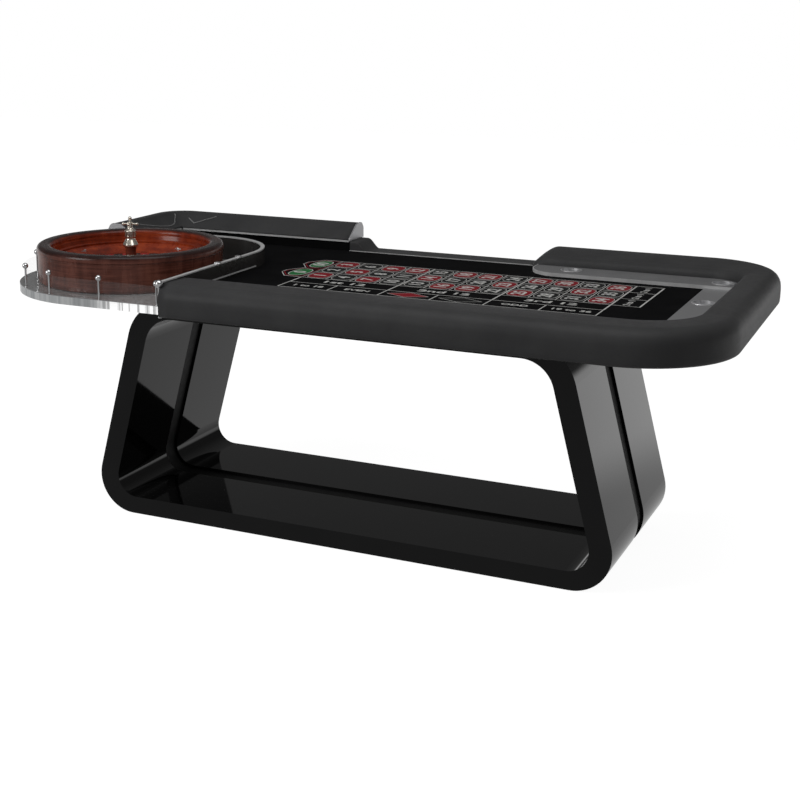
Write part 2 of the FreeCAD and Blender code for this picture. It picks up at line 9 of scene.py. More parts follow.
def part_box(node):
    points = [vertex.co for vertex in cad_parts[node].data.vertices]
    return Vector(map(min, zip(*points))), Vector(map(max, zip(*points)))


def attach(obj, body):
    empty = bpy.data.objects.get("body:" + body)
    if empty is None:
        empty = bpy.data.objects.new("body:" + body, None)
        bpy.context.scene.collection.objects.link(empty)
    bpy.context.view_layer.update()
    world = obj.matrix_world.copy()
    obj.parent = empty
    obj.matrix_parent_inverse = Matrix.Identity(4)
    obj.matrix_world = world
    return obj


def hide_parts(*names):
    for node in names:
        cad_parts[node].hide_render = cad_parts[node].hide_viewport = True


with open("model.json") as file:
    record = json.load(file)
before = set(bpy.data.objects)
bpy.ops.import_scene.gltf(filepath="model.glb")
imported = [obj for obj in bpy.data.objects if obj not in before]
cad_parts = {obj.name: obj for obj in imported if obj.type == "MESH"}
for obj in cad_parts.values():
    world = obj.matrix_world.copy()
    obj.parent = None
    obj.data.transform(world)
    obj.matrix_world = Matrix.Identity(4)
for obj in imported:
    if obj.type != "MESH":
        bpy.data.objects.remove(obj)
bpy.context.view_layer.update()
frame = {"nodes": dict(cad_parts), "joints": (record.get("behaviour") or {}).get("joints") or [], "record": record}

# A casino roulette table in a plain pale studio.  Metres, +Z up, +Y towards the croupier.

NODES = frame["nodes"]
JOINT = frame["joints"][0]["pos_m"]
AXLE = Vector((JOINT[0], JOINT[1], 0.0))


# ---- where things are, read from the frame ----------------------------------
def low(node):
    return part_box(node)[0]


def high(node):
    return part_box(node)[1]


FELT = high("felt_cloth")[2]
PRINT_Z = high("layout_sheet")[2]
RAIL_LOW = low("rail_cushion")
RAIL_HIGH = high("rail_cushion")
CORE_LOW = low("rail_core")
CORE_HIGH = high("rail_core")
BED_HIGH = high("playing_bed")
ARM_IN = high("ledge_block")[1]
BOWL_TOP = high("wheel_bowl")[2]
PLATFORM_TOP = high("wheel_platform")[2]
INSIDE_R = 0.272           # the bowl's inside veneer starts within this radius


# ---- node materials ----------------------------------------------------------
class Look:
    """A material built up node by node around one Principled shader."""

    def __init__(self, name, **values):
        self.material = bpy.data.materials.new(name)
        self.material.use_nodes = True
        self.tree = self.material.node_tree
        self.shader = self.tree.nodes["Principled BSDF"]
        self.place = self.add("ShaderNodeTexCoord").outputs["Object"]
        for socket, value in values.items():
            self.shader.inputs[socket.replace("_", " ")].default_value = value

    def add(self, kind, **settings):
        node = self.tree.nodes.new(kind)
        for key, value in settings.items():
            setattr(node, key, value)
        return node

    def join(self, source, target):
        self.tree.links.new(source, target)

    def stretched(self, scale, centre=(0, 0, 0)):
        """Object coordinates moved to a centre and scaled by axis."""
        node = self.add("ShaderNodeMapping", vector_type="POINT")
        node.inputs["Scale"].default_value = scale
        node.inputs["Location"].default_value = [-c * s for c, s in zip(centre, scale)]
        self.join(self.place, node.inputs["Vector"])
        return node.outputs[0]

    def noise(self, scale, detail=3.0, rough=0.5, at=None):
        node = self.add("ShaderNodeTexNoise")
        node.inputs["Scale"].default_value = scale
        node.inputs["Detail"].default_value = detail
        node.inputs["Roughness"].default_value = rough
        self.join(at or self.place, node.inputs["Vector"])
        return node.outputs["Fac"]

    def cells(self, scale, feature="F1", at=None):
        node = self.add("ShaderNodeTexVoronoi", feature=feature)
        node.inputs["Scale"].default_value = scale
        self.join(at or self.place, node.inputs["Vector"])
        return node.outputs["Distance"]

    def math(self, operation, a, b=0.0):
        node = self.add("ShaderNodeMath", operation=operation)
        for socket, value in zip(node.inputs, (a, b)):
            if isinstance(value, (int, float)):
                socket.default_value = value
            else:
                self.join(value, socket)
        return node.outputs[0]

    def ramp(self, fac, *stops):
        """Colour ramp; each stop is (place, colour or grey)."""
        node = self.add("ShaderNodeValToRGB")
        band = node.color_ramp
        while len(band.elements) < len(stops):
            band.elements.new(0.5)
        for element, (where, tone) in zip(band.elements, stops):
            element.position = where
            rgb = (tone,) * 3 if isinstance(tone, (int, float)) else tone
            element.color = (*rgb, 1.0)
        self.join(fac, node.inputs["Fac"])
        return node.outputs["Color"]

    def mix(self, fac, a, b, blend="MIX"):
        node = self.add("ShaderNodeMix", data_type="RGBA", blend_type=blend)
        for name, value in (("Factor", fac), ("A", a), ("B", b)):
            index = {"Factor": 0, "A": 6, "B": 7}[name]
            socket = node.inputs[index]
            if isinstance(value, (int, float)) and index == 0:
                socket.default_value = value
            elif isinstance(value, (tuple, list)):
                socket.default_value = (*value, 1.0)
            else:
                self.join(value, socket)
        return node.outputs[2]

    def colour(self, source):
        self.join(source, self.shader.inputs["Base Color"])
        return self

    def roughness(self, source, least, most):
        spread = self.add("ShaderNodeMapRange")
        spread.inputs["To Min"].default_value = least
        spread.inputs["To Max"].default_value = most
        self.join(source, spread.inputs["Value"])
        self.join(spread.outputs[0], self.shader.inputs["Roughness"])
        return self

    def bump(self, source, depth, strength=1.0):
        node = self.add("ShaderNodeBump")
        node.inputs["Distance"].default_value = depth
        node.inputs["Strength"].default_value = strength
        self.join(source, node.inputs["Height"])
        if self.shader.inputs["Normal"].is_linked:
            self.join(self.shader.inputs["Normal"].links[0].from_socket, node.inputs["Normal"])
        self.join(node.outputs[0], self.shader.inputs["Normal"])
        return self


def leather(name, dark, light, rough=(0.36, 0.5), specular=0.5):
    """Fine pebbled hide: 1 mm cells, creases between them darkened as painted shade, faint larger blotches."""
    look = Look(name, Specular_IOR_Level=specular)
    blotches = look.noise(9.0, 4.0)
    grain = look.cells(950.0, "DISTANCE_TO_EDGE")
    tone = look.ramp(blotches, (0.3, dark), (0.7, light))
    # painted shade: the creases between the grain cells are darkened in the colour
    crease_shade = look.ramp(grain, (0.0, 0.72), (0.14, 1.0))
    look.colour(look.mix(1.0, tone, crease_shade, "MULTIPLY"))
    look.roughness(look.noise(45.0, 5.0), *rough)
    look.bump(look.ramp(grain, (0.0, 0.0), (0.3, 1.0)), 0.00012, 0.5)
    look.bump(look.noise(210.0, 3.0), 0.0002, 0.25)
    return look.material


def lacquer(name, dark, light, rough=(0.035, 0.085), ior=1.36, ripple=0.10):
    """Sprayed and polished gloss: very faint orange peel and handling haze."""
    look = Look(name, IOR=ior)
    look.colour(look.ramp(look.noise(5.0, 5.0), (0.3, dark), (0.7, light)))
    look.roughness(look.noise(16.0, 6.0, 0.65), *rough)
    look.bump(look.noise(75.0, 2.0), 0.0002, ripple)
    return look.material


def satin_paint(name, dark, light, rough=(0.45, 0.6)):
    look = Look(name)
    look.colour(look.ramp(look.noise(30.0, 5.0), (0.3, dark), (0.7, light)))
    look.roughness(look.noise(60.0, 4.0), *rough)
    look.bump(look.noise(700.0, 2.0), 0.00008, 0.5)
    return look.material


def cloth(name, dark, light, fibre=1500.0):
    """Napped wool baize: short fibres lying in patches, with a little sheen."""
    look = Look(name, Specular_IOR_Level=0.04)
    nap = look.noise(fibre, 3.0, 0.7)
    lie = look.noise(14.0, 4.0)
    base = look.ramp(lie, (0.3, dark), (0.7, light))
    look.colour(look.mix(1.0, base, look.ramp(nap, (0.3, 0.65), (0.7, 1.0)), "MULTIPLY"))
    look.roughness(nap, 0.86, 1.0)
    look.bump(nap, 0.00035, 0.6)
    return look.material


def ink(name, colour, worn):
    """Screen print on baize: the nap breaks the colour up, wear thins it in patches."""
    look = Look(name, Specular_IOR_Level=0.2)
    nap = look.noise(1500.0, 3.0, 0.7)
    wear = look.ramp(look.noise(26.0, 5.0, 0.65), (0.28, worn), (0.5, colour))
    look.colour(look.mix(1.0, wear, look.ramp(nap, (0.3, 0.8), (0.6, 1.0)), "MULTIPLY"))
    look.roughness(nap, 0.7, 0.9)
    look.bump(nap, 0.0003, 0.5)
    return look.material


def metal(name, colour, rough=(0.08, 0.18), streak=(1, 1, 1), scale=60.0, depth=0.00003):
    """Bare or plated metal with fine marks drawn out along the streak direction."""
    look = Look(name, Metallic=1.0)
    lines = look.noise(scale, 4.0, 0.7, look.stretched(streak))
    shade = tuple(c * 0.82 for c in colour)
    look.colour(look.ramp(lines, (0.25, shade), (0.75, colour)))
    look.roughness(look.noise(scale, 5.0, 0.6, look.stretched(streak)), *rough)
    look.bump(lines, depth, 0.5)
    return look.material


def turned_wood(name, dark, middle, light, ior=1.45, coat=0.6):
    """Veneer wrapped round the wheel: long grain round it, figure standing across."""
    look = Look(name, IOR=ior, Coat_Weight=coat, Coat_Roughness=0.10)
    flow = look.noise(1.0, 5.0, 0.6, look.stretched((7, 7, 160), AXLE))
    figure = look.noise(1.0, 4.0, 0.55, look.stretched((26, 26, 5), AXLE))
    pores = look.noise(1.0, 2.0, 0.5, look.stretched((90, 90, 1400), AXLE))
    base = look.ramp(look.math("ADD", look.math("MULTIPLY", flow, 0.55),
                               look.math("MULTIPLY", figure, 0.45)),
                     (0.36, dark), (0.5, middle), (0.64, light))
    look.colour(look.mix(1.0, base, look.ramp(pores, (0.32, 0.7), (0.46, 1.0)), "MULTIPLY"))
    look.roughness(figure, 0.16, 0.3)
    look.bump(pores, 0.00005, 0.3)
    return look.material


def bowl_wood(name, outside, rim, inside):
    """Turned bowl: warm brown outside, a dark rolled rim, red gloss veneer inside."""
    look = Look(name, IOR=1.3, Coat_Weight=0.1, Coat_Roughness=0.15)
    flow = look.noise(1.0, 5.0, 0.6, look.stretched((7, 7, 160), AXLE))
    figure = look.noise(1.0, 4.0, 0.55, look.stretched((26, 26, 5), AXLE))
    pores = look.noise(1.0, 2.0, 0.5, look.stretched((90, 90, 1400), AXLE))
    mixed = look.math("ADD", look.math("MULTIPLY", flow, 0.5), look.math("MULTIPLY", figure, 0.5))
    tones = []
    for dark, middle, light in (outside, rim, inside):
        tones.append(look.ramp(mixed, (0.38, dark), (0.5, middle), (0.62, light)))
    local = look.add("ShaderNodeSeparateXYZ")
    look.join(look.stretched((1, 1, 1), AXLE), local.inputs[0])
    x, y, z = local.outputs
    squares = look.math("ADD", look.math("MULTIPLY", x, x), look.math("MULTIPLY", y, y))
    reach = look.math("POWER", squares, 0.5)
    in_bowl = look.ramp(reach, (INSIDE_R - 0.004, 1.0), (INSIDE_R + 0.004, 0.0))
    on_rim = look.ramp(z, (BOWL_TOP - 0.018, 0.0), (BOWL_TOP - 0.006, 1.0))
    base = look.mix(in_bowl, look.mix(on_rim, tones[0], tones[1]), tones[2])
    look.colour(look.mix(1.0, base, look.ramp(pores, (0.32, 0.7), (0.46, 1.0)), "MULTIPLY"))
    look.roughness(figure, 0.2, 0.34)
    look.bump(pores, 0.00005, 0.3)
    return look.material


def board(name, dark, light):
    """Plain sawn timber, grain along the table."""
    look = Look(name)
    grain = look.noise(1.0, 6.0, 0.6, look.stretched((6, 140, 140)))
    look.colour(look.ramp(grain, (0.3, dark), (0.7, light)))
    look.roughness(grain, 0.5, 0.75)
    look.bump(grain, 0.0002, 0.4)
    return look.material


def acrylic(name):
    """Thick clear plastic: pale body, upright saw and flame marks on its edge, and a painted glow: the edge
    brightens and emits light, fading out towards the left tip.
    """
    look = Look(name, IOR=1.85, Transmission_Weight=0.2, Emission_Strength=0.5)
    streaks = look.noise(1.0, 3.0, 0.6, look.stretched((42, 42, 0.6)))
    cloud = look.noise(5.0, 3.0)
    tint = look.ramp(streaks, (0.38, (0.44, 0.46, 0.47)), (0.5, (0.62, 0.64, 0.65)),
                     (0.62, (0.80, 0.81, 0.81)))
    sheet = look.ramp(cloud, (0.3, 0.24), (0.7, 0.30))
    saw = look.noise(1.0, 2.0, 0.7, look.stretched((75, 75, 0.4)))
    # the saw marks, lightened, also serve as the painted glow on the edge
    saw_glow = look.ramp(saw, (0.40, 0.40), (0.47, 1.0))
    local = look.add("ShaderNodeSeparateXYZ")
    look.join(look.place, local.inputs[0])
    along = look.add("ShaderNodeMapRange")
    for socket, value in (("From Min", -0.75), ("From Max", -0.69)):
        along.inputs[socket].default_value = value
    look.join(local.outputs[0], along.inputs["Value"])
    below = look.add("ShaderNodeMapRange")
    for socket, value in (("From Min", PLATFORM_TOP - 0.001), ("From Max", PLATFORM_TOP - 0.003)):
        below.inputs[socket].default_value = value
    look.join(local.outputs[2], below.inputs["Value"])
    # painted glow: the edge is lit all along except at its far left tip
    lit = look.math("MULTIPLY", along.outputs[0], below.outputs[0])
    edge = look.mix(lit, tint, saw_glow)
    look.colour(look.mix(below.outputs[0], sheet, edge))
    # the edge emits light though it is no lamp: painted glow
    look.join(look.mix(lit, (0.0, 0.0, 0.0), saw_glow), look.shader.inputs["Emission Color"])
    look.roughness(cloud, 0.02, 0.07)
    look.bump(cloud, 0.0001, 0.1)
    return look.material


def screen(name):
    look = Look(name, IOR=1.12, Alpha=0.05)
    haze = look.noise(22.0, 5.0)
    look.colour(look.ramp(haze, (0.3, (0.45, 0.47, 0.48)), (0.7, (0.58, 0.6, 0.61))))
    look.roughness(haze, 0.03, 0.1)
    look.bump(haze, 0.0001, 0.2)
    return look.material


POCKETS = 38


def pocket_enamel(name, red, black, green):
    """Alternate sectors round the axle, with the two green ones opposite each other."""
    look = Look(name, Coat_Weight=0.5, Coat_Roughness=0.08)
    local = look.add("ShaderNodeSeparateXYZ")
    look.join(look.stretched((1, 1, 1), AXLE), local.inputs[0])
    angle = look.math("ARCTAN2", local.outputs[1], local.outputs[0])
    turn = look.math("ADD", look.math("MULTIPLY", angle, POCKETS / (2 * math.pi)), POCKETS)
    index = look.math("FLOOR", look.math("MODULO", turn, POCKETS))
    odd = look.math("MODULO", index, 2.0)
    zero = look.math("COMPARE", look.math("MODULO", index, POCKETS / 2), 0.0)
    zero.node.inputs[2].default_value = 0.25
    tone = look.mix(zero, look.mix(odd, black, red), green)
    look.colour(look.mix(1.0, tone, look.ramp(look.noise(90.0, 4.0), (0.3, 0.85), (0.7, 1.0)), "MULTIPLY"))
    look.roughness(look.noise(60.0, 5.0), 0.22, 0.36)
    look.bump(look.noise(240.0, 2.0), 0.00008, 0.3)
    return look.material


CHARCOAL = leather("charcoal_hide", (0.044, 0.044, 0.045), (0.055, 0.055, 0.056), (0.40, 0.52), 0.15)
LEDGE_HIDE = leather("ledge_hide", (0.165, 0.165, 0.168), (0.200, 0.200, 0.203), (0.46, 0.6), 0.3)
# the fence's black lacquer made lighter and warmer than the base's: painted reflection of the bowl and room
FENCE_PAINTED_REFLECTION = lacquer("fence_painted_reflection", (0.030, 0.028, 0.027), (0.042, 0.039, 0.037), (0.18, 0.28), 1.45)
BLACK_GLOSS = lacquer("black_gloss", (0.0035, 0.0035, 0.0037), (0.0055, 0.0055, 0.0057))
GROOVE_BLACK = satin_paint("groove_paint", (0.002, 0.002, 0.002), (0.004, 0.004, 0.004), (0.6, 0.8))
PANEL_BLACK = satin_paint("panel_paint", (0.010, 0.010, 0.010), (0.017, 0.017, 0.017))
STEEL_PAINT = satin_paint("steel_paint", (0.03, 0.03, 0.032), (0.05, 0.05, 0.052))
GLIDE_RUBBER = satin_paint("glide_rubber", (0.015, 0.015, 0.015), (0.03, 0.03, 0.03), (0.7, 0.85))
BAIZE = cloth("black_baize", (0.0042, 0.0042, 0.0046), (0.0070, 0.0070, 0.0075))
TRIM = metal("satin_trim", (0.80, 0.80, 0.81), (0.26, 0.4), (9, 9, 1), 90.0)
LINE_TRIM = satin_paint("line_trim", (0.44, 0.44, 0.44), (0.54, 0.54, 0.54), (0.3, 0.42))
CAP_METAL = metal("cap_metal", (0.46, 0.46, 0.47), (0.42, 0.55), (9, 9, 1), 90.0)
CUP_STEEL = metal("cup_steel", (0.90, 0.90, 0.91), (0.34, 0.5), (1, 1, 12), 60.0)
CHROME = metal("polished_chrome", (0.84, 0.84, 0.85), (0.05, 0.12))
BRUSHED = metal("brushed_plate", (0.60, 0.60, 0.61), (0.34, 0.5), (4, 90, 4), 14.0, 0.00006)
BRASS = metal("machined_brass", (0.72, 0.52, 0.24), (0.16, 0.3), (1, 1, 30), 30.0)
NICKEL = metal("champagne_nickel", (0.86, 0.80, 0.70), (0.14, 0.26), (1, 1, 24), 24.0)
BOWL_WOOD = bowl_wood("bowl_wood",
                      ((0.066, 0.018, 0.011), (0.128, 0.040, 0.027), (0.19, 0.068, 0.046)),
                      ((0.010, 0.003, 0.0025), (0.020, 0.006, 0.005), (0.036, 0.011, 0.009)),
                      ((0.13, 0.012, 0.002), (0.22, 0.023, 0.004), (0.33, 0.046, 0.009)))
MAHOGANY = turned_wood("mahogany", (0.060, 0.014, 0.008), (0.125, 0.028, 0.015), (0.20, 0.050, 0.028),
                       1.4, 0.3)
ROTOR_WOOD = turned_wood("rotor_wood", (0.16, 0.024, 0.008), (0.27, 0.045, 0.014), (0.37, 0.08, 0.028))
VENEER = turned_wood("dark_veneer", (0.12, 0.012, 0.002), (0.20, 0.022, 0.004), (0.30, 0.042, 0.009),
                     1.3, 0.1)
PLY = board("birch_ply", (0.36, 0.25, 0.14), (0.50, 0.37, 0.22))
BEECH = board("beech", (0.45, 0.29, 0.16), (0.58, 0.40, 0.24))
ACRYLIC_PAINTED_GLOW = acrylic("thick_acrylic_painted_glow")
SCREEN = screen("clear_screen")
RING_ENAMEL = pocket_enamel("ring_enamel", (0.33, 0.012, 0.012), (0.006, 0.006, 0.006), (0.01, 0.14, 0.035))
WHITE_INK = ink("white_ink", (0.62, 0.62, 0.60), (0.40, 0.40, 0.39))
RED_INK = ink("red_ink", (0.24, 0.006, 0.014), (0.16, 0.005, 0.010))
GREEN_INK = ink("green_ink", (0.02, 0.16, 0.045), (0.012, 0.10, 0.03))
BLACK_INK = ink("black_ink", (0.004, 0.004, 0.004), (0.008, 0.008, 0.008))

SLOT_LOOKS = {
    "black_lacquer": BLACK_GLOSS, "groove_black": GROOVE_BLACK, "glide_rubber": GLIDE_RUBBER,
    "zinc_steel": STEEL_PAINT, "plywood": PLY, "charcoal_leather": CHARCOAL,
    "black_panel": PANEL_BLACK, "ledge_grey": LEDGE_HIDE, "brushed_plate": BRUSHED,
    "black_felt": BAIZE, "printed_felt": BAIZE, "polished_steel": CHROME, "light_metal": TRIM,
    "clear_acrylic": ACRYLIC_PAINTED_GLOW, "clear_screen": SCREEN, "hardwood": BEECH, "mahogany": MAHOGANY,
    "dark_veneer": VENEER, "bearing_brass": BRASS, "number_enamel": RING_ENAMEL,
    "pocket_enamel": RING_ENAMEL, "fret_metal": NICKEL, "turret_metal": NICKEL,
}


# nodes that look different from the others of their material
NODE_LOOKS = {
    "rotor_cone": ROTOR_WOOD, "turret_base": MAHOGANY, "wheel_bowl": BOWL_WOOD,
    "fence_wall": FENCE_PAINTED_REFLECTION, "fence_trim": LINE_TRIM, "cup_holders": CUP_STEEL,
    "ledge_trim": LINE_TRIM, "dealer_trim": LINE_TRIM, "backrest_trim": LINE_TRIM,
    "fence_foot_trim": LINE_TRIM, "backrest_end_cap": CAP_METAL, "side_end_cap": CAP_METAL,
}


def dress_nodes():
    for part in frame["record"]["subparts"]:
        mesh = NODES[part["node"]].data
        mesh.materials.clear()
        mesh.materials.append(SLOT_LOOKS[part["material_slot"]])
    for name, look in NODE_LOOKS.items():
        NODES[name].data.materials[0] = look


# ---- mesh helpers ------------------------------------------------------------
def piece(name, mesh, look, body, smooth=True):
    mesh.materials.append(look)
    for face in mesh.polygons:
        face.use_smooth = smooth
    obj = bpy.data.objects.new(name, mesh)
    bpy.context.scene.collection.objects.link(obj)
    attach(obj, body)
    return obj


def lofted(name, rings):
    """Skin through rings of equal length, each a closed loop; ends are capped."""
    bm = bmesh.new()
    rows = [[bm.verts.new(p) for p in ring] for ring in rings]
    count = len(rows[0])
    for a, b in zip(rows, rows[1:]):
        for i in range(count):
            j = (i + 1) % count
            bm.faces.new((a[i], a[j], b[j], b[i]))
    bm.faces.new(reversed(rows[0]))
    bm.faces.new(rows[-1])
    bmesh.ops.recalc_face_normals(bm, faces=bm.faces)
    mesh = bpy.data.meshes.new(name)
    bm.to_mesh(mesh)
    bm.free()
    return mesh


def around(centre, radius, angle):
    """Plan point on a circle, angle in radians."""
    return (centre[0] + radius * math.cos(angle), centre[1] + radius * math.sin(angle))


def arc(centre, radius, start, end, steps):
    """Points of an arc in a section plane, angles in degrees."""
    points = []
    for i in range(steps + 1):
        points.append(around(centre, radius, math.radians(start + (end - start) * i / steps)))
    return points


def run(a, b, steps):
    """Evenly spaced values from a to b, both included."""
    return [a + (b - a) * i / steps for i in range(steps + 1)]


# ---- upholstery --------------------------------------------------------------
OUTER_ROLL = 0.049
CORNER_R = 0.300           # plan radius of the padded corners, outer edge
INNER_FRONT_R = 0.170      # plan radius where the end padding meets the front
INNER_BACK_R = 0.110
FRONT_W = 0.176
END_W = 0.123
END_TAPER = 0.010          # the end's outer face comes in this much by the back corner
ARM_FACE = ARM_IN - 0.026  # the armrest's padding swells this far over the ledge
BACK_R = 0.262             # plan radius of the outer corner behind the end plate
FRONT_ROLL = 0.018         # rounding of the inner top edge along the front
FRONT_DIP = 0.003          # how far the top falls away towards the cloth there
ARM_ROLL = 0.030           # the same two along the armrest
ARM_DIP = 0.012
SIDE_PAD = 0.012           # padding between the core and the cloth


def rail_section(width, inner_roll, dip, crown):
    """Closed loop of (distance inwards, height) for the padding over its core."""
    foot = RAIL_LOW[2]
    deep = CORE_LOW[1] - RAIL_LOW[1]
    core_top = CORE_HIGH[2]
    loop = [(deep, foot + 0.001), (0.022, foot)]
    loop += arc((0.012, foot + 0.012), 0.012, 270, 180, 5)
    loop += [(-0.0006, z) for z in run(foot + 0.022, crown - OUTER_ROLL - 0.008, 4)]
    loop += arc((OUTER_ROLL, crown - OUTER_ROLL), OUTER_ROLL, 176, 92, 13)
    edge = width - inner_roll
    for u in run(OUTER_ROLL + 0.012, edge - 0.006, 9):
        t = (u - OUTER_ROLL) / max(edge - OUTER_ROLL, 0.001)
        loop.append((u, crown - dip * t * t))
    top = crown - dip
    loop += arc((edge, top - inner_roll), inner_roll, 88, 0, 9)
    loop += [(width, z) for z in run(top - inner_roll - 0.002, BED_HIGH[2] + 0.001, 3)]
    loop += [(width - SIDE_PAD, BED_HIGH[2] + 0.001), (width - SIDE_PAD, core_top), (deep, core_top)]
    return loop


def rail_stations():
    """(outer plan point, inner plan point, inner roll, dip) along the padding."""
    left, front = RAIL_LOW[0], RAIL_LOW[1]
    right, back = RAIL_HIGH[0], RAIL_HIGH[1]
    turn = right - CORNER_R
    in_x = right - END_W
    stations = []
    for x in run(left, turn, 40):
        stations.append(((x, front), (x, front + FRONT_W), FRONT_ROLL, FRONT_DIP))
    centre_a = (turn, front + CORNER_R)
    centre_b = (in_x - INNER_FRONT_R, front + FRONT_W + INNER_FRONT_R)
    for i in range(1, 33):
        a = math.radians(-90 + 90 * i / 32)
        stations.append((around(centre_a, CORNER_R, a), around(centre_b, INNER_FRONT_R, a),
                         FRONT_ROLL, FRONT_DIP))
    y_a, y_b = centre_a[1], back - BACK_R
    in_a, in_b = centre_b[1], ARM_FACE - INNER_BACK_R
    for i in range(1, 21):
        t = i / 20
        stations.append(((right - END_TAPER * t, y_a + (y_b - y_a) * t), (in_x, in_a + (in_b - in_a) * t),
                         FRONT_ROLL + 0.004 * t, FRONT_DIP + 0.001 * t))
    centre_a = (right - END_TAPER - BACK_R, y_b)
    centre_b = (in_x - INNER_BACK_R, in_b)
    for i in range(1, 33):
        t = i / 32
        a = math.radians(90 * t)
        stations.append((around(centre_a, BACK_R, a), around(centre_b, INNER_BACK_R, a),
                         0.022 + 0.008 * t, 0.004 + 0.008 * t))
    return stations


ARM_LEFT = high("dealer_edge")[0]
ARM_END_R = 0.056          # rounding of the armrest's free end, seen from the side


def arm_stations():
    """The armrest's straight run, ending in a rolled end: (x, inner x, height lost)."""
    turn = RAIL_HIGH[0] - END_TAPER - BACK_R
    inner = RAIL_HIGH[0] - END_W - INNER_BACK_R
    stations = []
    roll_start = ARM_LEFT + ARM_END_R
    for t in run(0, 1, 18)[1:]:
        x = turn + (roll_start - turn) * t
        stations.append((x, inner + (roll_start - inner) * t, 0.0))
    for a in run(0, 80, 10)[1:]:
        r = math.radians(a)
        x = ARM_LEFT + ARM_END_R * (1 - math.sin(r))
        stations.append((x, x, ARM_END_R * (1 - math.cos(r))))
    return stations


def rail_padding():
    crown = RAIL_HIGH[2]
    rings = []
    for outer, inner, roll, dip in rail_stations():
        a, b = Vector(outer), Vector(inner)
        width = (b - a).length
        across = (b - a) / width
        rings.append([(a.x + across.x * u, a.y + across.y * u, z)
                      for u, z in rail_section(width, roll, dip, crown)])
    back = RAIL_HIGH[1]
    for x, inner_x, lost in arm_stations():
        a, b = Vector((x, back)), Vector((inner_x, ARM_FACE))
        width = (b - a).length
        across = (b - a) / width
        ring = []
        for u, z in rail_section(width, ARM_ROLL, ARM_DIP, crown):
            limit = crown - lost
            if z > CORE_LOW[2] and lost > 0:
                z = CORE_LOW[2] + (z - CORE_LOW[2]) * (limit - CORE_LOW[2]) / (crown - CORE_LOW[2])
            ring.append((a.x + across.x * u, a.y + across.y * u, z))
        rings.append(ring)
    obj = piece("rail_padding", lofted("rail_padding", rings), CHARCOAL, "table")
    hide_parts("rail_cushion")


BACK_LOW = low("backrest_cushion")
BACK_HIGH = high("backrest_cushion")
BACK_W = 0.117
BACK_CORNER = 0.120
BACK_LIP = 0.874           # height of the padding's lower inner edge
SLOPE_TOP = Vector((0.0495, BACK_HIGH[2] - 0.0075))
SLOPE_FOOT = Vector((BACK_W - 0.001, BACK_LIP + 0.006))
SLOPE_SAG = 0.0022         # hollow of the inner slope


def backrest_loop():
    """Closed section of the high rail: upright outer face, thin crown, long inner slope."""
    foot = BACK_LOW[2]
    top = BACK_HIGH[2]
    lip = BACK_LIP
    loop = [(0.033, foot), (0.012, foot)]
    loop += arc((0.010, foot + 0.010), 0.010, 260, 180, 4)
    loop += [(0.0, z) for z in run(foot + 0.03, top - 0.034, 5)]
    loop += arc((0.018, top - 0.018), 0.018, 170, 92, 8)
    loop += [(0.026, top), (0.034, top)]
    loop += arc((0.036, top - 0.016), 0.016, 84, 46, 6)
    for t in run(0, 1, 14)[1:]:
        point = SLOPE_TOP.lerp(SLOPE_FOOT, t)
        sag = SLOPE_SAG * math.sin(math.pi * t)
        loop.append((point.x - sag * 0.6, point.y - sag * 0.8))
    loop += [(BACK_W, lip + 0.0045), (BACK_W, lip + 0.001), (BACK_W - 0.002, lip)]
    loop += [(BACK_W - 0.02, lip), (0.033, lip)]
    return loop


def backrest_path():
    """(outer point, inward direction) from the end cap round the corner to the side cap."""
    right, back = BACK_HIGH[0], BACK_HIGH[1]
    left, front = BACK_LOW[0], BACK_LOW[1]
    path = [((x, back), (0, -1)) for x in run(right, left + BACK_CORNER, 24)]
    for a in run(90, 180, 16)[1:]:
        r = math.radians(a)
        out = (math.cos(r), math.sin(r))
        path.append(((left + BACK_CORNER + BACK_CORNER * out[0], back - BACK_CORNER + BACK_CORNER * out[1]),
                     (-out[0], -out[1])))
    path += [((left, y), (1, 0)) for y in run(back - BACK_CORNER, front, 12)[1:]]
    return path


def backrest_padding():
    rings = []
    for (x, y), (dx, dy) in backrest_path():
        rings.append([(x + dx * u, y + dy * u, z) for u, z in backrest_loop()])
    mesh = lofted("backrest_padding", rings)
    obj = piece("backrest_padding", mesh, CHARCOAL, "table")
    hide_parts("backrest_cushion")


HUMP_FLAT = 0.026          # length of the hump's level top
HUMP_FALL = 0.046          # length over which it drops to the edge
EDGE_R = 0.005             # rounding towards the cloth
BACK_ROLL = 0.016          # rounding of the croupier's edge
DECK_TOP = 0.802


def dealer_padding():
    """Low padded edge on the croupier's side, humped where it meets the high rail."""
    lo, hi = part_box("dealer_edge")
    top = FELT - 0.001
    rings = []
    hump_end = lo[0] + 0.090
    for x in run(lo[0], hump_end, 24) + run(hump_end, hi[0], 30)[1:]:
        t = max(0.0, min((x - lo[0] - HUMP_FLAT) / HUMP_FALL, 1.0))
        rise = (hi[2] - top) * (1 - t * t * (3 - 2 * t))
        back = hi[1]
        peak = top + rise
        loop = [(lo[1], DECK_TOP)] + [(lo[1], z) for z in run(top - 0.010, peak - EDGE_R, 5)]
        loop += arc((lo[1] + EDGE_R, peak - EDGE_R), EDGE_R, 160, 110, 2)
        for y in run(lo[1] + 0.008, back - 0.020, 12):
            loop.append((y, peak))
        loop += arc((back - BACK_ROLL, peak - BACK_ROLL), BACK_ROLL, 80, 0, 4)
        loop += [(back, z) for z in run(top - 0.030, lo[2] + 0.014, 3)]
        loop += [(back - 0.003, lo[2] + 0.003), (back - 0.010, lo[2]), (back - 0.033, lo[2]),
                 (back - 0.033, DECK_TOP)]
        rings.append([(x, y, z) for y, z in loop])
    obj = piece("dealer_padding", lofted("dealer_padding", rings), CHARCOAL, "table")
    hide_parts("dealer_edge")


